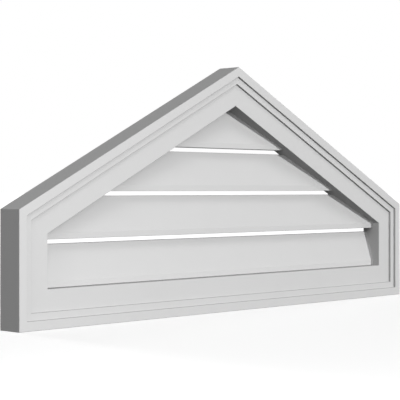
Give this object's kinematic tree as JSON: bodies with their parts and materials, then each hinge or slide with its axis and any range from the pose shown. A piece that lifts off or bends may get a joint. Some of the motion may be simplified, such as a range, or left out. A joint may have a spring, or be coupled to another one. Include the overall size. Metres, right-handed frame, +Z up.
{
  "type": "gable vent",
  "caption": "Peaked white gable vent for a sloping roof line: a stepped, mitred moulding frame round fixed sloping louvres with open air gaps between them.",
  "frame": {"origin": "middle of the width and depth, at the underside of the bottom rail", "axes": "+X to the right seen from the front, +Y from the moulded front towards the flat back and the wall, +Z up towards the peak"},
  "size_m": [0.8128, 0.0382, 0.3556],
  "materials": {
    "vinyl": "smooth matte cellular vinyl, unpainted white"
  },
  "bodies": {
    "root": {"bottom_rail": "vinyl", "left_stile": "vinyl", "right_stile": "vinyl", "left_rafter": "vinyl", "right_rafter": "vinyl", "bottom_louver": "vinyl", "lower_louver": "vinyl", "upper_louver": "vinyl", "peak_louver": "vinyl"}
  },
  "joints": []
}
